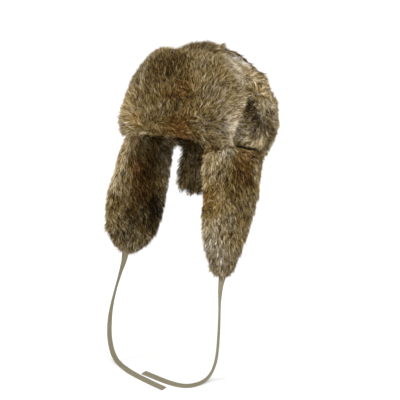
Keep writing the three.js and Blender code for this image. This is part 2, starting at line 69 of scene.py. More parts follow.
# Ties. Each is a flat cotton twill tape, 11 mm wide, with a firm selvedge along both sides. It
# is sewn into the tip of an ear flap, hangs, and lies on the surface with its end free.
TAPE_WIDTH = 11 * MM
TAPE_THICKNESS = 1.1 * MM
TAPE_STEPS = 180
TAPE_ACROSS = 12
TAPE_CUPPING = 0.5 * MM
CUP_MIDDLE = 0.4
CUP_FADE = 6
WEAVE_LENGTH = 0.33
TWILL_SPACING = 0.9 * MM
# The tape's olive, with a darker copy of it as painted shade in the rib grooves and a paler copy
# as a painted highlight on the rib crests.
TAPE_OLIVE = "#726b57"
TAPE_SHADE = "#4a4433"
TAPE_PAINTED_HIGHLIGHT = "#8b846d"

# Route points in millimetres, then turns about the tape's own length: share along, degrees.
TIE_ROUTES = {
    "tie_left": [
        (91.0, -85.3, -190.6), (91.0, -87.3, -196.0), (91.0, -90.0, -203.5),
        (90.6, -92.0, -217), (89.8, -91.6, -232), (88.9, -90.2, -250), (88.1, -89.2, -268),
        (87.2, -88.8, -288), (86.6, -88.9, -304), (85.9, -89.6, -320), (84.9, -91.0, -336),
        (83.2, -93.2, -350), (80.4, -97.2, -363), (76.4, -103.4, -373), (71.5, -112.4, -378.4),
        (66.3, -123.0, -379.3), (59.6, -132.4, -379.3), (50.2, -139.0, -379.3),
        (38.0, -142.3, -379.3), (24.0, -143.2, -379.3), (10.0, -142.6, -379.3),
        (-4.0, -141.2, -379.3), (-17.5, -139.8, -379.3), (-30.5, -138.4, -379.3),
    ],
    "tie_right": [
        (-95.5, -88.2, -189.6), (-95.5, -90.1, -194.9), (-95.5, -92.8, -202.5),
        (-97.1, -98.6, -216), (-99.2, -106.0, -233), (-101.8, -114.0, -254),
        (-104.0, -121.0, -276), (-105.5, -126.0, -298), (-106.2, -128.4, -320),
        (-106.1, -128.8, -338), (-104.6, -128.4, -353), (-100.4, -129.2, -366),
        (-92.4, -131.8, -375.3), (-81.0, -136.4, -379.1), (-68.5, -141.8, -379.3),
        (-55.5, -146.9, -379.3), (-42.0, -150.8, -379.3), (-28.3, -153.9, -379.3),
        (-14.5, -156.5, -379.3), (-0.7, -158.9, -379.3), (12.5, -161.0, -379.3),
        (25.7, -162.9, -379.3),
    ],
}
TIE_TURNS = {
    "tie_left": [
        (0, -52), (0.04, -14), (0.1, 3), (0.14, 12), (0.2, 16), (0.4, 14), (0.5, 16), (0.56, 23),
        (0.62, 20), (0.68, 5), (0.74, 0), (1, 0),
    ],
    "tie_right": [
        (0, 30), (0.05, 0), (0.1, -20), (0.15, -28), (0.2, -32), (0.25, -30), (0.3, -25),
        (0.4, -14), (0.5, -15), (0.62, -16), (0.7, -3), (0.76, 0), (1, 0),
    ],
}


def hex_colour(code):
    """An sRGB hex value as linear red, green, blue and alpha."""
    shares = [int(code[place:place + 2], 16) / 255 for place in (1, 3, 5)]
    return (*(s / 12.92 if s <= 0.04045 else ((s + 0.055) / 1.055) ** 2.4 for s in shares), 1)


def new_material(name):
    material = bpy.data.materials.new(name)
    material.use_nodes = True
    return material, material.node_tree.nodes["Principled BSDF"]


def add_node(material, kind, links=(), sockets=None, **settings):
    """Adds a node. links is pairs of an output and this node's input, and sockets are values."""
    node = material.node_tree.nodes.new(kind)
    for setting, value in settings.items():
        setattr(node, setting, value)
    for socket, value in (sockets or {}).items():
        node.inputs[socket].default_value = value
    for output, socket in links:
        material.node_tree.links.new(output, node.inputs[socket])
    return node


def connect(material, output, node, socket):
    material.node_tree.links.new(output, node.inputs[socket])


def set_ramp(node, stops):
    """Gives a colour ramp its stops: place and sRGB hex value."""
    elements = node.color_ramp.elements
    while len(elements) < len(stops):
        elements.new(1)
    for element, (place, code) in zip(elements, stops):
        element.position = place
        element.color = hex_colour(code)


def blend_to(low, high, start, stop, at):
    return low + (high - low) * (at - start) / (stop - start)


def smooth_route(points, steps):
    """Even steps along a centripetal curve through the points, in metres."""
    points = np.array(points) * MM
    run = [2 * points[0] - points[1], *points, 2 * points[-1] - points[-2]]
    fine = []
    for a, b, c, d in zip(run, run[1:], run[2:], run[3:]):
        gaps = [math.sqrt(np.linalg.norm(q - p)) for p, q in ((a, b), (b, c), (c, d))]
        t0, t1, t2, t3 = np.cumsum([0, *gaps])
        for at in np.linspace(t1, t2, 12, endpoint=False):
            ab = blend_to(a, b, t0, t1, at)
            bc = blend_to(b, c, t1, t2, at)
            cd = blend_to(c, d, t2, t3, at)
            early = blend_to(ab, bc, t0, t2, at)
            late = blend_to(bc, cd, t1, t3, at)
            fine.append(blend_to(early, late, t1, t2, at))
    fine = np.array([*fine, points[-1]])
    gone = np.concatenate([[0], np.cumsum(np.linalg.norm(np.diff(fine, axis=0), axis=1))])
    even = np.linspace(0, gone[-1], steps + 1)
    return np.stack([np.interp(even, gone, fine[:, axis]) for axis in range(3)], 1)


def lay_tape(name, route, turns):
    """A tape along a route. Its frames lie flat at the far end and take the given turns."""
    path = smooth_route(route, TAPE_STEPS)
    ahead = np.gradient(path, axis=0)
    ahead /= np.linalg.norm(ahead, axis=1)[:, None]
    facing = np.zeros_like(path)
    flat = np.array([0.0, 0.0, 1.0])
    for step in range(TAPE_STEPS, -1, -1):
        flat = flat - ahead[step] * (flat @ ahead[step])
        flat /= np.linalg.norm(flat)
        facing[step] = flat
    shares, degrees = zip(*turns)
    turn = np.radians(np.interp(np.linspace(0, 1, TAPE_STEPS + 1), shares, degrees))[:, None]
    facing = facing * np.cos(turn) + np.cross(ahead, facing) * np.sin(turn)
    across = np.cross(ahead, facing)
    mesh = bmesh.new()
    mesh.loops.layers.uv.new("weave")
    bmesh.ops.create_grid(
        mesh, x_segments=TAPE_STEPS, y_segments=TAPE_ACROSS, size=0.5, calc_uvs=True,
    )
    for vertex in mesh.verts:
        step = round((vertex.co.x + 0.5) * TAPE_STEPS)
        side = 2 * vertex.co.y
        fade = math.exp(-CUP_FADE * (step / TAPE_STEPS) ** 2)
        cup = TAPE_CUPPING * (side ** 2 - CUP_MIDDLE) * fade
        vertex.co = path[step] + across[step] * side * TAPE_WIDTH / 2 + facing[step] * cup
    data = bpy.data.meshes.new(name)
    mesh.to_mesh(data)
    mesh.free()
    for face in data.polygons:
        face.use_smooth = True
    tape = bpy.data.objects.new(name, data)
    bpy.context.collection.objects.link(tape)
    thicken = tape.modifiers.new("thickness", "SOLIDIFY")
    thicken.thickness = TAPE_THICKNESS
    thicken.offset = 0
    return tape, path


# Cotton twill: matt, with fine diagonal ribs, drawn 0.9 mm apart so that they show. The ribs are
# coloured with painted shade in their grooves and a painted highlight on their crests, mixed
# with the yarn's fine fleck.
twill, twill_shader = new_material("cotton_twill")
twill_shader.inputs["Roughness"].default_value = 0.88
twill_shader.inputs["Specular IOR Level"].default_value = 0.25
weave_uv = add_node(twill, "ShaderNodeUVMap", uv_map="weave")
weave_scale = add_node(
    twill, "ShaderNodeVectorMath", [(weave_uv.outputs["UV"], 0)],
    {1: (WEAVE_LENGTH / TWILL_SPACING / 10, TAPE_WIDTH / TWILL_SPACING / 10, 1)},
    operation="MULTIPLY",
)
twill_ribs = add_node(
    twill, "ShaderNodeTexWave", [(weave_scale.outputs["Vector"], "Vector")],
    {"Scale": 3.2, "Distortion": 0.6, "Detail": 1}, wave_type="BANDS", bands_direction="DIAGONAL",
)
twill_fleck = add_node(
    twill, "ShaderNodeTexNoise", [(weave_uv.outputs["UV"], "Vector")],
    {"Scale": 60, "Detail": 3},
)
twill_sum = add_node(
    twill, "ShaderNodeMath",
    [(twill_ribs.outputs["Fac"], 0), (twill_fleck.outputs["Fac"], 1)], operation="ADD",
)
twill_half = add_node(
    twill, "ShaderNodeMath", [(twill_sum.outputs["Value"], 0)], {1: 0.5}, operation="MULTIPLY",
)
twill_shade_and_highlight = add_node(
    twill, "ShaderNodeValToRGB", [(twill_half.outputs["Value"], "Fac")],
)
set_ramp(twill_shade_and_highlight, [(0.25, TAPE_SHADE), (0.5, TAPE_OLIVE), (0.85, TAPE_PAINTED_HIGHLIGHT)])
connect(twill, twill_shade_and_highlight.outputs["Color"], twill_shader, "Base Color")
twill_relief = add_node(
    twill, "ShaderNodeBump", [(twill_half.outputs["Value"], "Height")],
    {"Strength": 0.6, "Distance": 0.0004},
)
connect(twill, twill_relief.outputs["Normal"], twill_shader, "Normal")

for tie_name, tie_length in (("tie_left", 0.316), ("tie_right", 0.321)):
    tape, tape_path = lay_tape(tie_name + "_tape", TIE_ROUTES[tie_name], TIE_TURNS[tie_name])
    tape.data.materials.append(twill)
    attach(tape, "root")
    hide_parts(tie_name)


# Crown. It is of pieces of tanned pelt with the skin side in: pale brown hide like suede,
# with a fine nap and faint cloudy stains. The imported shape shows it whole.
HIDE_PALE = "#a08d6c"
HIDE_BROWN = "#7b6849"
HIDE_GRAIN = 1.6 * MM

hide, hide_shader = new_material("tanned_hide")
hide_shader.inputs["Roughness"].default_value = 0.9
hide_shader.inputs["Specular IOR Level"].default_value = 0.2
hide_place = add_node(hide, "ShaderNodeTexCoord")
hide_clouds = add_node(
    hide, "ShaderNodeTexNoise", [(hide_place.outputs["Object"], "Vector")],
    {"Scale": 28, "Detail": 5},
)
hide_colours = add_node(hide, "ShaderNodeValToRGB", [(hide_clouds.outputs["Fac"], "Fac")])
set_ramp(hide_colours, [(0.35, HIDE_BROWN), (0.68, HIDE_PALE)])
connect(hide, hide_colours.outputs["Color"], hide_shader, "Base Color")
hide_nap = add_node(
    hide, "ShaderNodeTexNoise", [(hide_place.outputs["Object"], "Vector")],
    {"Scale": 1 / HIDE_GRAIN, "Detail": 3},
)
hide_relief = add_node(
    hide, "ShaderNodeBump", [(hide_nap.outputs["Fac"], "Height")],
    {"Strength": 0.5, "Distance": 0.0006},
)
connect(hide, hide_relief.outputs["Normal"], hide_shader, "Normal")
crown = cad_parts["crown"]
crown.data.materials.clear()
crown.data.materials.append(hide)


# Crown fur. It is rabbit pelt, hair side out: soft underfur with longer banded hairs over it,
# which lie back over the crown and stick together in small pointed locks.
HAT_TILT = math.radians(20)
FUR_DEPTH = 9 * MM
HAIR_LENGTH = 18 * MM
HAIR_WIDTH = 0.75 * MM
LOCK_RADIUS = 1.8 * MM
LOCK_PULL = (0.1, 0.6)
HAIRS_A_LOCK = 3
HAIR_STRAY = 1.1 * MM
HAIR_ROLL = math.radians(60)
GUARD_SHARE = 0.08
GUARD_REACH = 1.1
GUARD_LIFT = math.radians(12)
GUARD_WIDTH = 0.5
FRINGE = 3 * MM
HAIR_PLACES = np.array([0, 0.5, 1.0])
HAIR_WIDTHS = np.array([0.8, 1.0])
SEAM_ANGLE = math.radians(70)
SMOOTHING_ROUNDS = 3
JUST_INSIDE = 0.5 * MM
SKIN_INSET_SHARE = 0.38

# The coat's plain tone, warmth, length and stir, and its three colours from dark to pale.
PLAIN_COAT = np.array([0.46, 0.36, 1.0, 0.0])
PLAIN_STIR = 0.3
LEAST_STIR = 0.05
COATS = {
    "grey": ["#120b03", "#352812", "#645337", "#908266", "#b7ac98", "#ddd6ca"],
    "golden": ["#150d01", "#402d0b", "#715925", "#9c8652", "#bfad83", "#dfd3b8"],
    "red": ["#1a0c01", "#482909", "#7a511c", "#a47b46", "#c39e72", "#dec6a2"],
}
# Tone along each hair, root to tip: the hair's own bands, and a darker root that is painted shade
# deep in the coat.
HAIR_BANDS_AND_SHADE = [
    (0, "#646464"), (0.35, "#787878"), (0.6, "#d2d2d2"), (0.8, "#ffffff"), (1, "#c8c8c8"),
]
BAND_AND_SHADE_SHIFT = 0.27
STRAND_SHIFT = 0.36
LOCK_TONE_SPREAD = 0.16
HAIR_WARMTH_SPREAD = 0.1


def to_level(places):
    """Points or directions turned forwards, to where the hat's rim is level."""
    y, z = places[:, 1], places[:, 2]
    cos, sin = math.cos(HAT_TILT), math.sin(HAT_TILT)
    return np.stack([places[:, 0], y * cos - z * sin, y * sin + z * cos], 1)


def from_level(places):
    """The same turned back, to how the hat is worn."""
    y, z = places[:, 1], places[:, 2]
    cos, sin = math.cos(HAT_TILT), math.sin(HAT_TILT)
    return np.stack([places[:, 0], y * cos + z * sin, z * cos - y * sin], 1)


def unit(vectors):
    return vectors / np.maximum(np.linalg.norm(vectors, axis=1), 1e-9)[:, None]


def drift(places, size, seed):
    """A smooth chance field of about -1 to 1, from seven crossing waves of about that size."""
    draw = np.random.default_rng(seed)
    waves = unit(draw.normal(size=(7, 3))) * (2 * math.pi / size)
    waves *= draw.uniform(0.6, 1.5, 7)[:, None]
    return np.sin(places @ waves.T + draw.uniform(0, 2 * math.pi, 7)).sum(1) / 2.6


def drift_vectors(places, size, seed):
    return np.stack([drift(places, size, seed + axis) for axis in range(3)], 1)


def around(level):
    """The angle round the head, from 0 at the front to 90 at the wearer's left."""
    return np.degrees(np.arctan2(level[:, 0], -level[:, 1]))


def round_and_up(level, sideways, upward):
    """Directions that run round the head, and up, by the given amounts."""
    angle = np.radians(around(level))
    turn = np.stack([np.cos(angle), np.sin(angle), np.zeros(len(angle))], 1)
    return turn * np.broadcast_to(sideways, len(angle))[:, None] + np.array([0, 0, 1.0]) * (
        np.broadcast_to(upward, len(angle))[:, None])


def skin_under_fur(node, depth, top, pulls):
    """The pelt's skin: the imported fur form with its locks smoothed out, set in by a depth, and
    that form. top is the share of the inset that lowers what faces up, with the rim level, and
    pulls are places and reaches, then how the form is pulled there, in millimetres."""
    skin = bmesh.new()
    skin.from_mesh(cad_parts[node].data)
    bmesh.ops.remove_doubles(skin, verts=skin.verts, dist=1e-5)
    bmesh.ops.triangulate(skin, faces=skin.faces)
    skin.normal_update()
    ends = {vertex for edge in skin.edges for vertex in edge.verts
            if edge.calc_face_angle(0) > SEAM_ANGLE}
    for _ in range(SMOOTHING_ROUNDS):
        bmesh.ops.smooth_vert(
            skin, verts=[vertex for vertex in skin.verts if vertex not in ends], factor=0.5,
            use_axis_x=True, use_axis_y=True, use_axis_z=True,
        )
    skin.normal_update()
    level = to_level(np.array([vertex.co for vertex in skin.verts]))
    pulled = np.zeros_like(level)
    for x, y, z, reach, *pull in pulls:
        away = np.linalg.norm(level - np.array([x, y, z]) * MM, axis=1) / (reach * MM)
        pulled += np.outer(np.exp(-away ** 2), pull) * MM
    for vertex, move in zip(skin.verts, from_level(pulled)):
        vertex.co += Vector(move)
    skin.normal_update()
    form = BVHTree.FromBMesh(skin)
    insets = []
    for vertex in skin.verts:
        start = vertex.co - vertex.normal * JUST_INSIDE
        through = form.ray_cast(start, -vertex.normal)[3]
        insets.append(min(depth, SKIN_INSET_SHARE * through) if through else 0)
    places = np.array([vertex.co for vertex in skin.verts])
    normals = np.array([vertex.normal for vertex in skin.verts])
    inward = -to_level(normals)
    inward[:, 2] *= np.where(inward[:, 2] < 0, top, 1)
    places += from_level(inward) * np.array(insets)[:, None]
    faces = np.array([[vertex.index for vertex in face.verts] for face in skin.faces])
    skin.free()
    return places, normals, faces, form


def coat_at(level, patches, seed):
    """The coat's tone, dark to pale, its warmth, grey to golden to red, the share of the full
    length, and how far the hair is stirred up: a row for each."""
    coat = np.tile(PLAIN_COAT[:, None], len(level))
    coat[0] += 0.06 * drift(level, 45 * MM, seed) + 0.06 * drift(level, 13 * MM, seed + 1)
    coat[1] += 0.12 * drift(level, 50 * MM, seed + 2)
    for x, y, z, reach, *shifts in patches:
        away = np.linalg.norm(level - np.array([x, y, z]) * MM, axis=1) / (reach * MM)
        coat += np.outer(shifts, np.exp(-away ** 2))
    return coat


def room_over(form, tips, fringes):
    """The share of each lock that keeps its tip within its fringe's height over the form."""
    shares = np.ones(len(tips))
    for row, (tip, fringe) in enumerate(zip(tips, fringes)):
        near, facing, _, _ = form.find_nearest(tip)
        past = (Vector(tip) - near).dot(facing)
        if past > fringe:
            shares[row] = (FUR_DEPTH + fringe) / (FUR_DEPTH + past)
    return np.maximum(shares, 0.4)


def grow_fur(name, node, locks, lay, grows, patches, seed, top=1, rise=(58, 12),
             pulls=()):
    """A pelt as one mesh: its skin, and flat tapered hairs gathered in pointed locks,
    with a few longer and thinner guard hairs that stand off on their own.
    lay gives the way the hair lies and grows tells where it grows, both with the rim level.
    rise is how steeply the hair stands at its root and at its tip, in degrees."""
    draw = np.random.default_rng(seed)
    places, normals, faces, form = skin_under_fur(node, FUR_DEPTH, top, pulls)
    corners = places[faces]
    cross = np.cross(corners[:, 1] - corners[:, 0], corners[:, 2] - corners[:, 0])
    area = np.linalg.norm(cross, axis=1) / 2
    middles = to_level(corners.mean(axis=1))
    outward = to_level(unit(normals[faces].mean(axis=1)))
    area *= grows(middles, outward)
    sums = np.cumsum(area)
    picks = (np.arange(locks) + draw.random(locks)) / locks * sums[-1]
    chosen = np.minimum(np.searchsorted(sums, picks), len(sums) - 1)
    weights = draw.dirichlet((1, 1, 1), locks)
    roots = np.einsum("lc,lcx->lx", weights, corners[chosen])
    up = unit(np.einsum("lc,lcx->lx", weights, normals[faces[chosen]]))
    level = to_level(roots)
    level_up = to_level(up)
    combed = unit(lay(level, level_up))
    combed = combed - level_up * np.sum(combed * level_up, axis=1)[:, None]
    seen = level + 0.5 * HAIR_LENGTH * combed
    tone, warmth, length, stir = coat_at(seen, patches, seed + 30)
    stir = np.maximum(PLAIN_STIR + stir, LEAST_STIR)[:, None]
    wanted = combed + stir * drift_vectors(level, 14 * MM, seed + 10)
    wanted = from_level(wanted + (0.1 + 0.5 * stir) * draw.normal(size=(locks, 3)))
    lie = unit(wanted - up * np.sum(wanted * up, axis=1)[:, None])
    lift = 0.14 * drift(level, 11 * MM, seed + 20) + 0.12 * draw.normal(size=locks)
    steep_start, steep_end = np.radians(rise)[:, None] + lift
    steep = (steep_start + steep_end)[:, None] / 2
    length = np.clip(length, 0.35, 1.6)
    reach = HAIR_LENGTH * length * draw.uniform(0.8, 1.12, locks)
    tips = roots + reach[:, None] * (up * np.sin(steep) + lie * np.cos(steep))
    fringes = FRINGE * np.clip(3 * length - 2, 0.1, 3) * draw.uniform(0, 2, locks)
    reach *= room_over(form, tips, fringes)
    pull = draw.uniform(*LOCK_PULL, locks)
    tone += LOCK_TONE_SPREAD * np.minimum(length, 1) * draw.normal(size=locks)
    strand = STRAND_SHIFT * np.minimum(length, 1)

    of_lock = np.repeat(np.arange(locks), HAIRS_A_LOCK)
    hairs = len(of_lock)
    up, lie, roots = up[of_lock], lie[of_lock], roots[of_lock]
    side = np.cross(up, lie)
    spin = draw.uniform(0, 2 * math.pi, hairs)
    spread = LOCK_RADIUS * np.sqrt(draw.random(hairs))
    offset = lie * (np.cos(spin) * spread)[:, None] + side * (np.sin(spin) * spread)[:, None]
    guard = draw.random(hairs) < GUARD_SHARE
    reach = reach[of_lock] * draw.uniform(0.75, 1.06, hairs) * np.where(guard, GUARD_REACH, 1)
    hold = np.where(guard, 0, pull[of_lock])
    steep_start = steep_start[of_lock]
    steep_end = steep_end[of_lock] + np.where(guard, GUARD_LIFT, 0)
    stray = HAIR_STRAY * draw.normal(size=(hairs, 3))

    points = []
    current = roots.copy()
    before = 0
    for place in HAIR_PLACES:
        steep = steep_start + (steep_end - steep_start) * (before + place) / 2
        current = current + (reach * (place - before))[:, None] * (
            up * np.sin(steep)[:, None] + lie * np.cos(steep)[:, None])
        before = place
        kept = 1 - hold * place ** 1.2
        points.append(current + offset * kept[:, None] + stray * place ** 2)
    roll = draw.uniform(-1, 1, hairs) * HAIR_ROLL
    thick = HAIR_WIDTH * draw.uniform(0.6, 1.2, hairs) * np.where(guard, GUARD_WIDTH, 1)
    strips = []
    for place, point in enumerate(points[:-1]):
        ahead = unit(points[place + 1] - point)
        flat = unit(np.cross(ahead, up))
        upright = np.cross(flat, ahead)
        width = flat * np.cos(roll)[:, None] + upright * np.sin(roll)[:, None]
        half = width * (thick * HAIR_WIDTHS[place] / 2)[:, None]
        strips += [point - half, point + half]
    strips.append(points[-1])
    hair_places = np.stack(strips, 1).reshape(-1, 3)
    first = len(places) + 5 * np.arange(hairs)[:, None]
    strip_faces = first + np.array([0, 1, 3, 2])
    tip_faces = first + np.array([2, 3, 4])

    data = bpy.data.meshes.new(name)
    data.from_pydata(
        np.concatenate([places, hair_places]), [],
        faces.tolist() + strip_faces.tolist() + tip_faces.tolist(),
    )
    skin_tone, skin_warmth, skin_length, _ = coat_at(to_level(places), patches, seed + 30)
    skin_along = 0.4 + 0.4 * np.clip((1 - skin_length) / 0.5, 0, 1)
    hair_tone = tone[of_lock] + strand[of_lock] * draw.uniform(-1, 1, hairs)
    hair_warmth = warmth[of_lock] + HAIR_WARMTH_SPREAD * draw.normal(size=hairs)
    columns = {
        "along": (skin_along, np.tile([0, 0, 0.5, 0.5, 1.0], hairs)),
        "tone": (skin_tone, np.repeat(hair_tone, 5)),
        "warmth": (skin_warmth, np.repeat(hair_warmth, 5)),
    }
    for title, (on_skin, on_hair) in columns.items():
        column = data.attributes.new(title, "FLOAT", "POINT")
        column.data.foreach_set("value", np.concatenate([on_skin, on_hair]).astype(np.float32))
    data.polygons.foreach_set("use_smooth", np.ones(len(data.polygons), dtype=bool))
    data.materials.append(fur)
    pelt = bpy.data.objects.new(name, data)
    bpy.context.collection.objects.link(pelt)
    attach(pelt, "root")
    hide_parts(node)
    return pelt


# Agouti rabbit hair: each hair is grey at its root, dark above it, golden near its tip and
# dark again at the tip. Its colour is also darkened towards the root as painted shade deep in
# the coat. It is soft and matt, with a faint sheen.
fur, fur_shader = new_material("rabbit_fur")
fur_shader.inputs["Roughness"].default_value = 0.7
fur_shader.inputs["Specular IOR Level"].default_value = 0.12
fur_along = add_node(fur, "ShaderNodeAttribute", attribute_name="along")
fur_tone = add_node(fur, "ShaderNodeAttribute", attribute_name="tone")
fur_warmth = add_node(fur, "ShaderNodeAttribute", attribute_name="warmth")
# The colour darkens towards the root: the hair's bands and painted shade deep in the coat.
fur_bands_and_shade = add_node(fur, "ShaderNodeValToRGB", [(fur_along.outputs["Fac"], "Fac")])
set_ramp(fur_bands_and_shade, HAIR_BANDS_AND_SHADE)
band_and_shade_shift = add_node(
    fur, "ShaderNodeMapRange", [(fur_bands_and_shade.outputs["Color"], "Value")],
    {"To Min": -BAND_AND_SHADE_SHIFT, "To Max": 0},
)
banded_shaded_tone = add_node(
    fur, "ShaderNodeMath", [(fur_tone.outputs["Fac"], 0), (band_and_shade_shift.outputs["Result"], 1)],
    operation="ADD",
)
coat_colours = {}
for coat_name, coat_codes in COATS.items():
    ramp = add_node(fur, "ShaderNodeValToRGB", [(banded_shaded_tone.outputs["Value"], "Fac")])
    set_ramp(ramp, [(place / 5, code) for place, code in enumerate(coat_codes)])
    coat_colours[coat_name] = ramp.outputs["Color"]
to_golden = add_node(
    fur, "ShaderNodeMapRange", [(fur_warmth.outputs["Fac"], "Value")],
    {"From Min": 0.1, "From Max": 0.55},
)
to_red = add_node(
    fur, "ShaderNodeMapRange", [(fur_warmth.outputs["Fac"], "Value")],
    {"From Min": 0.55, "From Max": 1.1},
)
golden_coat = add_node(fur, "ShaderNodeMix", data_type="RGBA")
connect(fur, to_golden.outputs["Result"], golden_coat, 0)
connect(fur, coat_colours["grey"], golden_coat, 6)
connect(fur, coat_colours["golden"], golden_coat, 7)
red_coat = add_node(fur, "ShaderNodeMix", data_type="RGBA")
connect(fur, to_red.outputs["Result"], red_coat, 0)
connect(fur, golden_coat.outputs[2], red_coat, 6)
connect(fur, coat_colours["red"], red_coat, 7)
connect(fur, red_coat.outputs[2], fur_shader, "Base Color")

# The crown's hair starts above the front flap and the band: heights with the rim level, and
# the flap's half angle in degrees.
CROWN_COVERED = 112 * MM
BAND_COVERED = 82 * MM
FLAP_HALF_ANGLE = 60

# Each pelt has tables of patches and pulls, in millimetres with the rim level. A patch is a
# place and its reach, then the shifts of tone, warmth and length, and how far the hair is
# stirred up. A pull is a place and its reach, then how far the form is moved on X, Y and Z.
CROWN_PATCHES = [
    (-33, -30, 155, 26, -0.12, 0.0, 0.0, 0.0),
    (4, -58, 149, 28, -0.2, 0.0, 0.0, 0.1),
    (10, -14, 160, 20, 0.0, 0.0, -0.2, -0.2),
    (31, -58, 142, 12, 0.12, 0.1, -0.2, 0.0),
    (36, -44, 146, 12, 0.12, -0.1, -0.5, -0.2),
    (30, -14, 148, 14, 0.12, -0.1, -0.5, -0.2),
    (48, -42, 140, 13, 0.26, -0.18, -0.6, -0.25),
    (40, -6, 147, 14, 0.24, -0.15, -0.6, -0.25),
    (48, -20, 144, 13, 0.26, -0.2, -0.7, -0.25),
    (66, -42, 126, 12, 0.26, -0.2, -0.7, -0.25),
    (50, 5, 141, 14, 0.26, -0.15, -0.6, -0.25),
    (60, -30, 134, 14, 0.3, -0.2, -0.6, -0.25),
    (60, 8, 136, 13, 0.2, -0.12, -0.5, -0.2),
    (72, -32, 124, 14, 0.28, -0.2, -0.6, -0.25),
    (54, 26, 145, 20, 0.05, 0.0, -0.3, -0.2),
    (84, -17, 122, 13, 0.2, 0.16, 0.0, 0.4),
    (93, -14, 112, 13, 0.18, 0.16, 0.0, 0.4),
    (92, -27, 102, 13, 0.1, 0.2, 0.1, 0.4),
    (98, 8, 110, 20, 0.04, 0.0, 0.3, 0.3),
    (61, 11, 132, 14, 0.3, -0.1, -0.3, -0.2),
    (34, 1, 145, 14, 0.0, -0.15, 0.0, 0.0),
    (0, -40, 158, 40, 0.0, -0.12, 0.0, 0.0),
    (12, 8, 163, 14, 0.0, 0.0, -0.5, -0.3),
    (66, -36, 128, 16, 0.0, -0.25, 0.0, 0.0),
]
CROWN_PULLS = [
    (28, -6, 158, 20, -3, 0, -4), (36, -24, 152, 22, -2, 1, -4), (52, -16, 148, 24, -4, 1, -5),
    (66, -8, 138, 20, -4, 1, -4), (96, 4, 114, 22, 9, 0, 5), (14, 2, 164, 20, 0, 0, -6),
]


def crown_lay(level, outward):
    return np.array([0, 1.0, -0.25]) + 0.35 * level * np.array([1, 0, 0]) / 0.09


def crown_grows(level, outward):
    front = np.abs(around(level)) < FLAP_HALF_ANGLE
    covered = np.where(front, CROWN_COVERED, BAND_COVERED)
    outer = np.sum(outward * unit(level - np.array([0, 0, 0.05])), axis=1) > 0.2
    return (level[:, 2] > covered) & outer


grow_fur("crown_pelt", "crown_fur", 12000, crown_lay, crown_grows, CROWN_PATCHES, 11,
         rise=(42, 6), pulls=CROWN_PULLS)


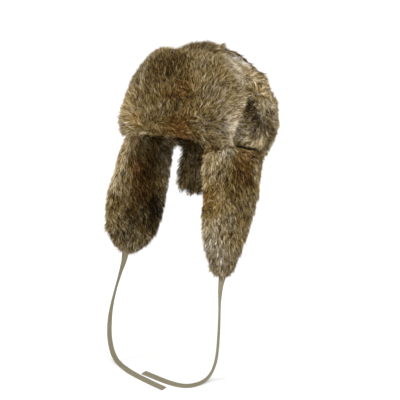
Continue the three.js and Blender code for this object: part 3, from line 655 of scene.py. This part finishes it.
# Front flap. A panel of the same pelt, turned up over the brow and sewn down at its middle, so
# its hair stands up, fans out towards both ends and runs sideways along the lower edge.
FRONT_PATCHES = [
    (-36, -118, 104, 20, -0.08, 0.0, 0.0, 0.1),
    (-10, -129, 103, 34, -0.18, 0.1, 0.0, 0.1),
    (10, -140, 72, 46, -0.11, 0.1, 0.0, 0.1),
    (12, -130, 104, 24, -0.1, 0.0, 0.0, 0.0),
    (26, -138, 90, 12, -0.08, 0.4, 0.0, 0.2),
    (40, -138, 76, 12, -0.06, 0.3, 0.0, 0.2),
    (44, -110, 124, 22, 0.06, 0.05, -0.1, 0.1),
    (-58, -112, 97, 7, 0.4, -0.15, -0.1, -0.1),
    (-52, -124, 88, 8, 0.5, -0.15, -0.1, -0.1),
    (-44, -136, 78, 8, 0.5, -0.15, -0.1, -0.1),
    (-38, -142, 65, 8, 0.45, -0.15, -0.1, -0.1),
    (-36, -145, 52, 7, 0.35, -0.1, -0.1, -0.1),
    (-37, -142, 40, 6, 0.2, -0.1, 0.0, 0.0),
    (-90, -108, 40, 40, 0.18, -0.05, 0.1, 0.1),
    (12, -139, 76, 26, -0.04, 0.0, 0.0, 0.3),
    (38, -144, 64, 20, -0.1, 0.45, 0.0, 0.3),
    (-40, -138, 12, 26, 0.12, 0.15, -0.35, -0.1),
    (12, -148, 20, 26, 0.02, 0.1, -0.25, -0.1),
    (46, -136, 11, 20, -0.12, 0.5, -0.1, 0.0),
    (70, -126, 24, 20, -0.08, -0.1, 0.1, 0.9),
    (65, -114, 89, 26, -0.08, -0.05, 0.0, 0.1),
    (90, -104, 74, 18, 0.27, 0.15, -0.35, 0.0),
    (93, -77, 95, 14, 0.12, 0.0, -0.2, 0.0),
    (48, -66, 131, 12, 0.08, -0.1, -0.6, -0.25),
    (58, -58, 130, 13, 0.22, -0.18, -0.75, -0.25),
    (68, -54, 124, 13, 0.24, -0.2, -0.75, -0.25),
    (75, -63, 117, 9, 0.16, -0.1, -0.4, -0.2),
    (77, -50, 117, 12, 0.22, -0.18, -0.75, -0.25),
    (61, -82, 126, 10, 0.0, 0.0, -0.6, -0.1),
    (75, -84, 115, 9, 0.08, 0.0, -0.6, -0.2),
    (79, -78, 109, 10, 0.2, -0.15, -0.6, -0.2),
    (86, -68, 102, 11, 0.26, -0.18, -0.6, -0.2),
    (96, -92, 38, 12, 0.16, -0.15, -0.2, -0.1),
    (96, -88, 24, 13, 0.18, -0.2, -0.25, -0.1),
    (95, -76, 30, 12, 0.18, -0.2, -0.25, -0.15),
    (94, -72, 16, 13, 0.18, -0.2, -0.25, -0.15),
    (94, -82, 6, 10, 0.16, -0.15, -0.2, -0.1),
    (91, -107, 24, 10, -0.15, -0.5, 0.0, 0.4),
    (95, -100, 12, 9, -0.12, -0.4, 0.0, 0.4),
    (30, -139, -3, 26, -0.24, 0.2, -0.2, 0.0),
    (85, -110, 0, 18, 0.08, 0.0, 0.5, 0.3),
    (-74, -117, 4, 26, 0.06, 0.05, 0.35, 0.3),
    (18, -142, 11, 22, 0.2, -0.08, 0.0, 0.0),
    (-65, -114, 86, 14, -0.14, 0.0, 0.0, 0.0),
    (80, -67, 110, 10, -0.14, -0.1, 0.0, 0.0),
    (1, -150, 50, 16, -0.12, 0.1, 0.0, 0.0),
    (83, -112, 72, 12, -0.12, 0.0, 0.0, 0.0),
    (52, -138, 47, 14, -0.12, 0.0, 0.0, 0.0),
    (18, -133, 101, 12, 0.14, 0.1, 0.0, 0.0),
    (66, -119, 92, 10, 0.18, 0.0, 0.0, 0.0),
    (89, -106, 26, 10, 0.18, -0.1, 0.0, 0.0),
    (98, -97, 42, 10, 0.18, 0.0, 0.0, 0.0),
    (-31, -145, 66, 12, 0.1, 0.1, 0.0, 0.0),
    (47, -112, 117, 14, -0.14, -0.1, 0.0, 0.0),
    (-6, -143, 4, 20, 0.08, 0.0, 0.0, 0.0),
    (-30, -140, 50, 40, 0.0, 0.1, 0.0, 0.0),
    (63, -80, 123, 14, -0.05, -0.15, 0.0, 0.0),
    (-80, -102, 74, 20, -0.22, 0.0, 0.0, 0.0),
    (-62, -106, 98, 18, -0.16, 0.0, 0.0, 0.0),
    (24, -142, 80, 12, 0.16, 0.0, 0.0, 0.0),
    (-74, -125, 26, 20, -0.14, 0.05, 0.0, 0.0),
    (-62, -130, 44, 22, 0.0, 0.15, 0.0, 0.0),
    (94, -102, 52, 10, 0.12, 0.0, 0.0, 0.0),
    (72, -76, 118, 16, 0.0, -0.3, 0.0, 0.0),
    (84, -62, 106, 14, 0.0, -0.25, 0.0, 0.0),
]
FRONT_PULLS = [
    (-62, -104, 112, 24, 5, 3, -5), (-88, -104, 78, 34, 6, 1, -2),
    (-104, -84, 36, 34, 5, 2, 0),
]


def front_lay(level, outward):
    angle = around(level)
    low = np.clip((30 * MM - level[:, 2]) / (16 * MM), 0, 1)
    middle = np.clip((angle + 18) / 12, 0, 1)
    fan = 1.4 * np.clip((angle - 27) / 27, 0, 1) - 0.7 * np.clip((-17 - angle) / 5, 0, 1)
    nap = 1.8 * middle - 0.8
    corner = np.clip((angle - 28) / 14, 0, 1)
    upward = 1 - 0.45 * np.abs(fan) - low * (0.35 + 0.6 * np.abs(nap) + 0.8 * corner)
    return round_and_up(level, fan * (1 - 0.6 * low) + low * nap * (1 - 0.7 * corner), upward)


def front_grows(level, outward):
    return np.sum(outward[:, :2] * unit(level[:, :2]), axis=1) > -0.35


grow_fur("front_pelt", "front_flap", 21300, front_lay, front_grows, FRONT_PATCHES,
         21, pulls=FRONT_PULLS)


# Side band. It is the outside of the sides and back where they are turned up, a strip of pelt
# whose hair sweeps forwards over the parting beside the front flap, and back everywhere else.
BAND_PATCHES = [
    (104, -30, 96, 14, 0.22, 0.15, 0.1, 0.3),
    (95, -38, 88, 12, 0.1, 0.2, 0.1, 0.2),
    (97, -50, 66, 12, -0.08, -0.05, 0.1, 0.0),
    (104, -48, 55, 13, -0.1, -0.05, 0.1, 0.0),
    (92, -58, 30, 11, 0.2, -0.2, -0.3, -0.2),
    (90, -56, 16, 11, 0.18, -0.2, -0.3, -0.2),
    (108, -43, 44, 13, -0.1, -0.05, 0.1, 0.0),
    (117, -15, 71, 22, 0.12, 0.0, 0.0, 0.3),
    (117, 26, 55, 26, 0.08, -0.12, 0.0, 0.1),
    (122, -22, 34, 22, 0.06, -0.15, 0.0, 0.0),
    (110, 36, 92, 18, 0.0, 0.0, -0.5, -0.2),
    (104, -45, 12, 12, 0.3, 0.2, -0.2, 0.1),
    (113, -19, 9, 16, 0.3, 0.2, -0.2, 0.1),
    (114, 14, 9, 18, 0.3, 0.2, -0.2, 0.1),
    (110, -26, 69, 13, 0.34, 0.1, 0.0, 0.0),
    (98, -49, 58, 10, -0.18, 0.0, 0.0, 0.0),
    (117, -1, 26, 16, -0.3, -0.15, 0.0, 0.0),
    (89, -43, 21, 10, 0.14, -0.05, 0.0, 0.0),
    (108, -24, 4, 12, 0.1, 0.15, 0.0, 0.0),
    (121, 22, 48, 20, -0.2, -0.25, 0.0, 0.0),
    (113, 28, 20, 22, -0.3, -0.25, 0.0, 0.0),
    (108, -32, 62, 12, 0.24, 0.0, 0.0, 0.0),
    (97, -48, 46, 10, -0.18, 0.0, 0.0, 0.0),
    (112, -14, 4, 14, 0.14, 0.15, 0.0, 0.0),
]
BAND_PULLS = [
    (112, 34, 92, 26, -9, -3, -5), (102, 60, 88, 24, -7, -4, -5), (106, -4, 100, 20, -4, 0, -3),
    (100, -46, 0, 20, 0, 0, 6), (112, -16, -2, 22, 0, 0, 6), (111, 20, -3, 24, -3, 0, 8),
    (104, 52, -3, 22, -5, -5, 9),
]


def band_lay(level, outward):
    angle = around(level)
    from_front = np.abs(angle)
    sweep = np.clip((from_front - 88) / 16, -1, 1) * (1 - np.clip((from_front - 140) / 40, 0, 1))
    fall = -0.35 - 0.8 * np.clip((from_front - 130) / 50, 0, 1) - 0.5 * (level[:, 2] < 0.02)
    inward = np.clip(3 * outward[:, 2:], 0, 1.5) * level * np.array([-1, -1, 0]) / 0.1
    return round_and_up(level, np.sign(angle) * sweep, fall) + inward


def band_grows(level, outward):
    return np.sum(outward[:, :2] * unit(level[:, :2]), axis=1) > -0.35


grow_fur("band_pelt", "side_band", 21000, band_lay, band_grows, BAND_PATCHES, 31,
         pulls=BAND_PULLS)


# Ear flaps. Each is two pelts sewn back to back, with hair on both faces and over the edges.
# They hang, so the hair lies down, forwards at the front edge and back at the rear one.
LEFT_FLAP_PATCHES = [
    (68, -85, -22, 16, 0.3, 0.25, 0.0, 0.1),
    (66, -87, -48, 14, 0.42, 0.3, 0.0, 0.0),
    (76, -83, -14, 6, -0.9, 0.0, -0.3, 0.2),
    (79, -77, -31, 5, -0.8, 0.0, -0.3, 0.2),
    (81, -73, -47, 5, -0.8, 0.0, -0.3, 0.2),
    (76, -84, -88, 18, -0.08, 0.3, -0.3, 0.3),
    (78, -82, -110, 16, -0.16, 0.25, -0.2, 0.3),
    (72, -84, -14, 12, 0.1, 0.0, 0.0, 0.1),
    (84, -78, -12, 14, 0.24, -0.1, 0.1, 0.1),
    (94, -66, -20, 14, 0.28, -0.15, 0.0, 0.0),
    (106, -50, -37, 20, -0.32, 0.5, -0.1, 0.0),
    (116, -28, -50, 20, -0.18, 0.4, -0.1, 0.0),
    (109, -47, -75, 22, -0.17, 0.2, 0.0, 0.0),
    (114, -1, -89, 18, 0.02, -0.1, 0.0, 0.0),
    (102, -56, -108, 22, -0.02, -0.15, 0.0, 0.0),
    (92, -71, -137, 20, 0.22, -0.2, 0.0, 0.0),
    (89, -65, -166, 18, 0.18, -0.32, 0.0, 0.0),
    (98, -52, -186, 18, 0.03, -0.25, 0.0, 0.0),
    (107, -42, -155, 20, 0.02, 0.0, 0.0, 0.0),
    (101, -46, -183, 5, 0.3, -0.3, 0.0, 0.0),
    (102, -40, -193, 5, 0.3, -0.3, 0.0, 0.0),
    (88, -55, -190, 10, -0.15, -0.1, 0.0, 0.0),
    (113, -22, -118, 14, -0.3, 0.0, 0.0, 0.0),
    (104, -13, -190, 12, -0.22, 0.0, 0.0, 0.0),
    (92, -29, -200, 10, -0.06, 0.0, 0.0, 0.0),
    (89, -65, -108, 16, 0.0, 0.25, 0.0, 0.0),
    (95, -57, -118, 12, 0.12, 0.0, 0.0, 0.0),
    (104, -47, -31, 12, 0.1, 0.1, 0.0, 0.0),
    (110, -26, -11, 18, 0.0, 0.55, 0.0, 0.0),
    (113, -6, -61, 20, -0.12, 0.1, 0.0, 0.0),
    (98, -46, -12, 16, 0.06, 0.3, 0.0, 0.0),
    (96, -50, -90, 60, 0.0, 0.1, 0.0, 0.0),
    (70, -86, -16, 12, -0.2, 0.0, 0.0, 0.0),
    (67, -80, -82, 10, -0.15, 0.0, 0.0, 0.0),
    (102, -45, -58, 14, -0.12, 0.0, 0.0, 0.0),
    (106, -38, -110, 16, -0.1, 0.0, 0.0, 0.0),
]
LEFT_FLAP_PULLS = [
    (70, -84, -10, 16, 3, -5, 1), (84, -76, -12, 16, 4, -5, 1), (62, -88, -40, 26, -4, -1, 0),
    (102, -46, -6, 22, 0, 0, 5), (112, -14, -6, 24, 0, 0, 5), (112, 16, -6, 24, 0, 0, 5),
    (70, -76, -110, 30, -4, -1, 0), (72, -72, -150, 30, -5, -1, 0), (116, 10, -80, 30, 3, 1, 0),
]
RIGHT_FLAP_PULLS = [
    (-98, -64, -12, 26, -10, -4, 2), (-100, -72, -160, 24, -3, -1, 0),
    (-102, -72, -110, 30, -3, 0, 0), (-78, 22, -158, 30, 3, 5, -4),
]
# On the flap's inner face towards the middle, X about -74 to -86, the rows that darken and warm
# the tone are partly the fur's own dark reddish brown and partly painted shade where a head would
# fall on the flap.
RIGHT_FLAP_PATCHES = [
    (-86, -42, -33, 16, -0.06, 0.0, -0.2, 0.1),
    (-96, -64, -20, 18, 0.2, 0.1, 0.0, 0.1),
    (-102, -75, -63, 22, 0.18, -0.05, 0.1, 0.1),
    (-102, -78, -100, 22, 0.14, 0.05, 0.3, 0.2),
    (-88, -60, -85, 14, -0.04, 0.0, 0.0, 0.0),
    (-87, -48, -62, 20, -0.1, 0.2, 0.0, 0.0),
    # The inner face: darker, partly the fur's own colour and partly painted shade.
    (-85, -32, -75, 18, -0.26, 0.6, 0.0, 0.0),
    (-82, -10, -99, 22, -0.3, 0.4, 0.0, 0.0),
    (-79, 8, -123, 24, -0.34, 0.1, 0.0, 0.0),
    (-78, 0, -50, 34, -0.3, 0.2, 0.0, 0.0),
    (-85, -27, -134, 20, -0.22, 0.1, 0.0, 0.2),
    (-92, -60, -145, 16, -0.06, -0.1, 0.0, 0.1),
    (-102, -69, -164, 22, 0.02, 0.1, 0.4, 0.4),
    (-77, 17, -158, 16, -0.2, 0.0, 0.0, 0.0),
    (-86, -30, -176, 26, -0.2, -0.1, 0.0, 0.3),
    (-76, 36, -139, 24, -0.35, 0.0, 0.0, 0.0),
    (-76, 20, -118, 20, -0.15, 0.0, 0.0, 0.0),
    (-74, 18, -172, 20, -0.15, 0.0, 0.0, 0.0),
    (-100, -76, -78, 14, 0.15, 0.0, 0.0, 0.0),
    (-105, -74, -118, 14, -0.2, 0.0, 0.0, 0.0),
    (-90, -29, -102, 22, -0.05, 0.45, 0.0, 0.0),
    (-85, -65, -17, 16, 0.05, 0.45, 0.0, 0.0),
    (-85, -37, -63, 22, 0.0, 0.25, 0.0, 0.0),
    (-95, -53, -173, 14, 0.12, 0.0, 0.0, 0.0),
    (-98, -66, -30, 14, 0.15, 0.0, 0.0, 0.0),
    (-92, -50, -165, 24, -0.12, 0.0, 0.0, 0.0),
    (-84, -36, -192, 12, 0.2, 0.0, 0.0, 0.0),
]


def flap_lay(level, outward):
    forth = np.clip((-0.055 - level[:, 1]) / 0.03, 0, 1)
    return np.stack([0.2 * outward[:, 0], -0.7 * forth + 0.25 * (level[:, 1] > 0.03),
                     np.full(len(level), -1.0)], 1)


def flap_grows(level, outward):
    return (level[:, 2] < -0.004) | (outward[:, 2] < 0.5)


grow_fur("left_flap_pelt", "ear_flap_left", 21300, flap_lay, flap_grows,
         LEFT_FLAP_PATCHES, 41, top=0, pulls=LEFT_FLAP_PULLS)
grow_fur("right_flap_pelt", "ear_flap_right", 21300, flap_lay, flap_grows,
         RIGHT_FLAP_PATCHES, 51, top=0, pulls=RIGHT_FLAP_PULLS)


# Neck flap. The back of the turned-down part, a short flap of the same pelt at the nape, with
# its hair hanging on both faces.
NECK_PATCHES = [
    (0, 90, -60, 60, -0.05, 0.0, 0.0, 0.0),
]


def neck_lay(level, outward):
    return np.stack([0.3 * outward[:, 0], 0.3 * outward[:, 1], np.full(len(level), -1.0)], 1)


grow_fur("neck_pelt", "neck_flap", 7400, neck_lay, flap_grows, NECK_PATCHES, 61,
         top=0)


# Studio. A pale seamless floor at the height where the ties lie, a shade deeper near the hat so
# that soft shadows show, a pale sky, a broad soft light from the front and the left of the view,
# and weaker ones from the other side and above.
FLOOR_SIZE = 40
FLOOR_NEAR = "#d0d0d0"
FLOOR_FAR = "#f4f4f4"
SKY_STRENGTH = 1.1

floor_mesh = bmesh.new()
bmesh.ops.create_grid(floor_mesh, x_segments=1, y_segments=1, size=FLOOR_SIZE / 2)
for corner in floor_mesh.verts:
    corner.co.z = SURFACE_HEIGHT
floor_data = bpy.data.meshes.new("floor")
floor_mesh.to_mesh(floor_data)
floor_mesh.free()
floor = bpy.data.objects.new("floor", floor_data)
bpy.context.collection.objects.link(floor)
painted, painted_shader = new_material("pale_floor")
floor_place = add_node(painted, "ShaderNodeTexCoord")
floor_reach = add_node(
    painted, "ShaderNodeVectorMath", [(floor_place.outputs["Object"], 0)], operation="LENGTH",
)
floor_shade = add_node(
    painted, "ShaderNodeMapRange", [(floor_reach.outputs["Value"], "Value")],
    {"From Min": 0.3, "From Max": 1.6},
)
floor_colours = add_node(
    painted, "ShaderNodeValToRGB", [(floor_shade.outputs["Result"], "Fac")],
)
set_ramp(floor_colours, [(0, FLOOR_NEAR), (1, FLOOR_FAR)])
connect(painted, floor_colours.outputs["Color"], painted_shader, "Base Color")
painted_shader.inputs["Roughness"].default_value = 0.9
floor_data.materials.append(painted)

LIGHTS = [
    ("key", (-1.5, -1.3, 0.7), 1.3, 32),
    ("fill", (1.7, -0.4, 0.5), 1.3, 20),
    ("front", (0.8, -1.7, 0.6), 1.4, 18),
    ("top", (0.2, 0.4, 1.9), 1.6, 14),
]
for light_name, light_place, light_size, light_power in LIGHTS:
    lamp = bpy.data.lights.new(light_name, "AREA")
    lamp.shape = "DISK"
    lamp.size = light_size
    lamp.energy = light_power
    light = bpy.data.objects.new(light_name, lamp)
    light.location = light_place
    light.rotation_euler = Vector(light_place).to_track_quat("Z", "Y").to_euler()
    bpy.context.collection.objects.link(light)

sky = bpy.data.worlds.new("sky")
sky.use_nodes = True
sky.node_tree.nodes["Background"].inputs["Color"].default_value = (1, 1, 1, 1)
sky.node_tree.nodes["Background"].inputs["Strength"].default_value = SKY_STRENGTH
bpy.context.scene.world = sky
bpy.context.scene.view_settings.view_transform = "Standard"
